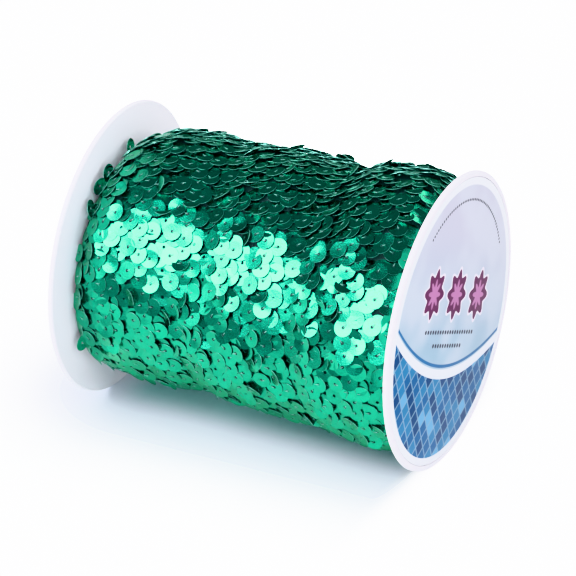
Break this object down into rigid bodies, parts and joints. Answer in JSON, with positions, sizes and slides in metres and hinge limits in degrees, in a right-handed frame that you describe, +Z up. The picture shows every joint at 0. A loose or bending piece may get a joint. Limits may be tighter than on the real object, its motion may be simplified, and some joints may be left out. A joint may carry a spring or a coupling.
{
  "type": "spool of stretch sequin trim",
  "caption": "Round sequin trim wound in side-by-side strips on a white flanged spool with a plain printed face label.",
  "frame": {"origin": "on the floor below the middle of the spool, which lies on its two flange rims", "axes": "+X along the spool's axis towards the labelled flange, +Z up"},
  "size_m": [0.122, 0.1, 0.0994],
  "materials": {
    "sequin_film": "metallic green film, glossy",
    "flange_plastic": "moulded white plastic, satin",
    "label_paper": "coated printed paper"
  },
  "bodies": {
    "root": {"wound_sequin_trim": "sequin_film", "near_flange": "flange_plastic", "far_flange": "flange_plastic", "face_label": "label_paper"}
  },
  "joints": []
}
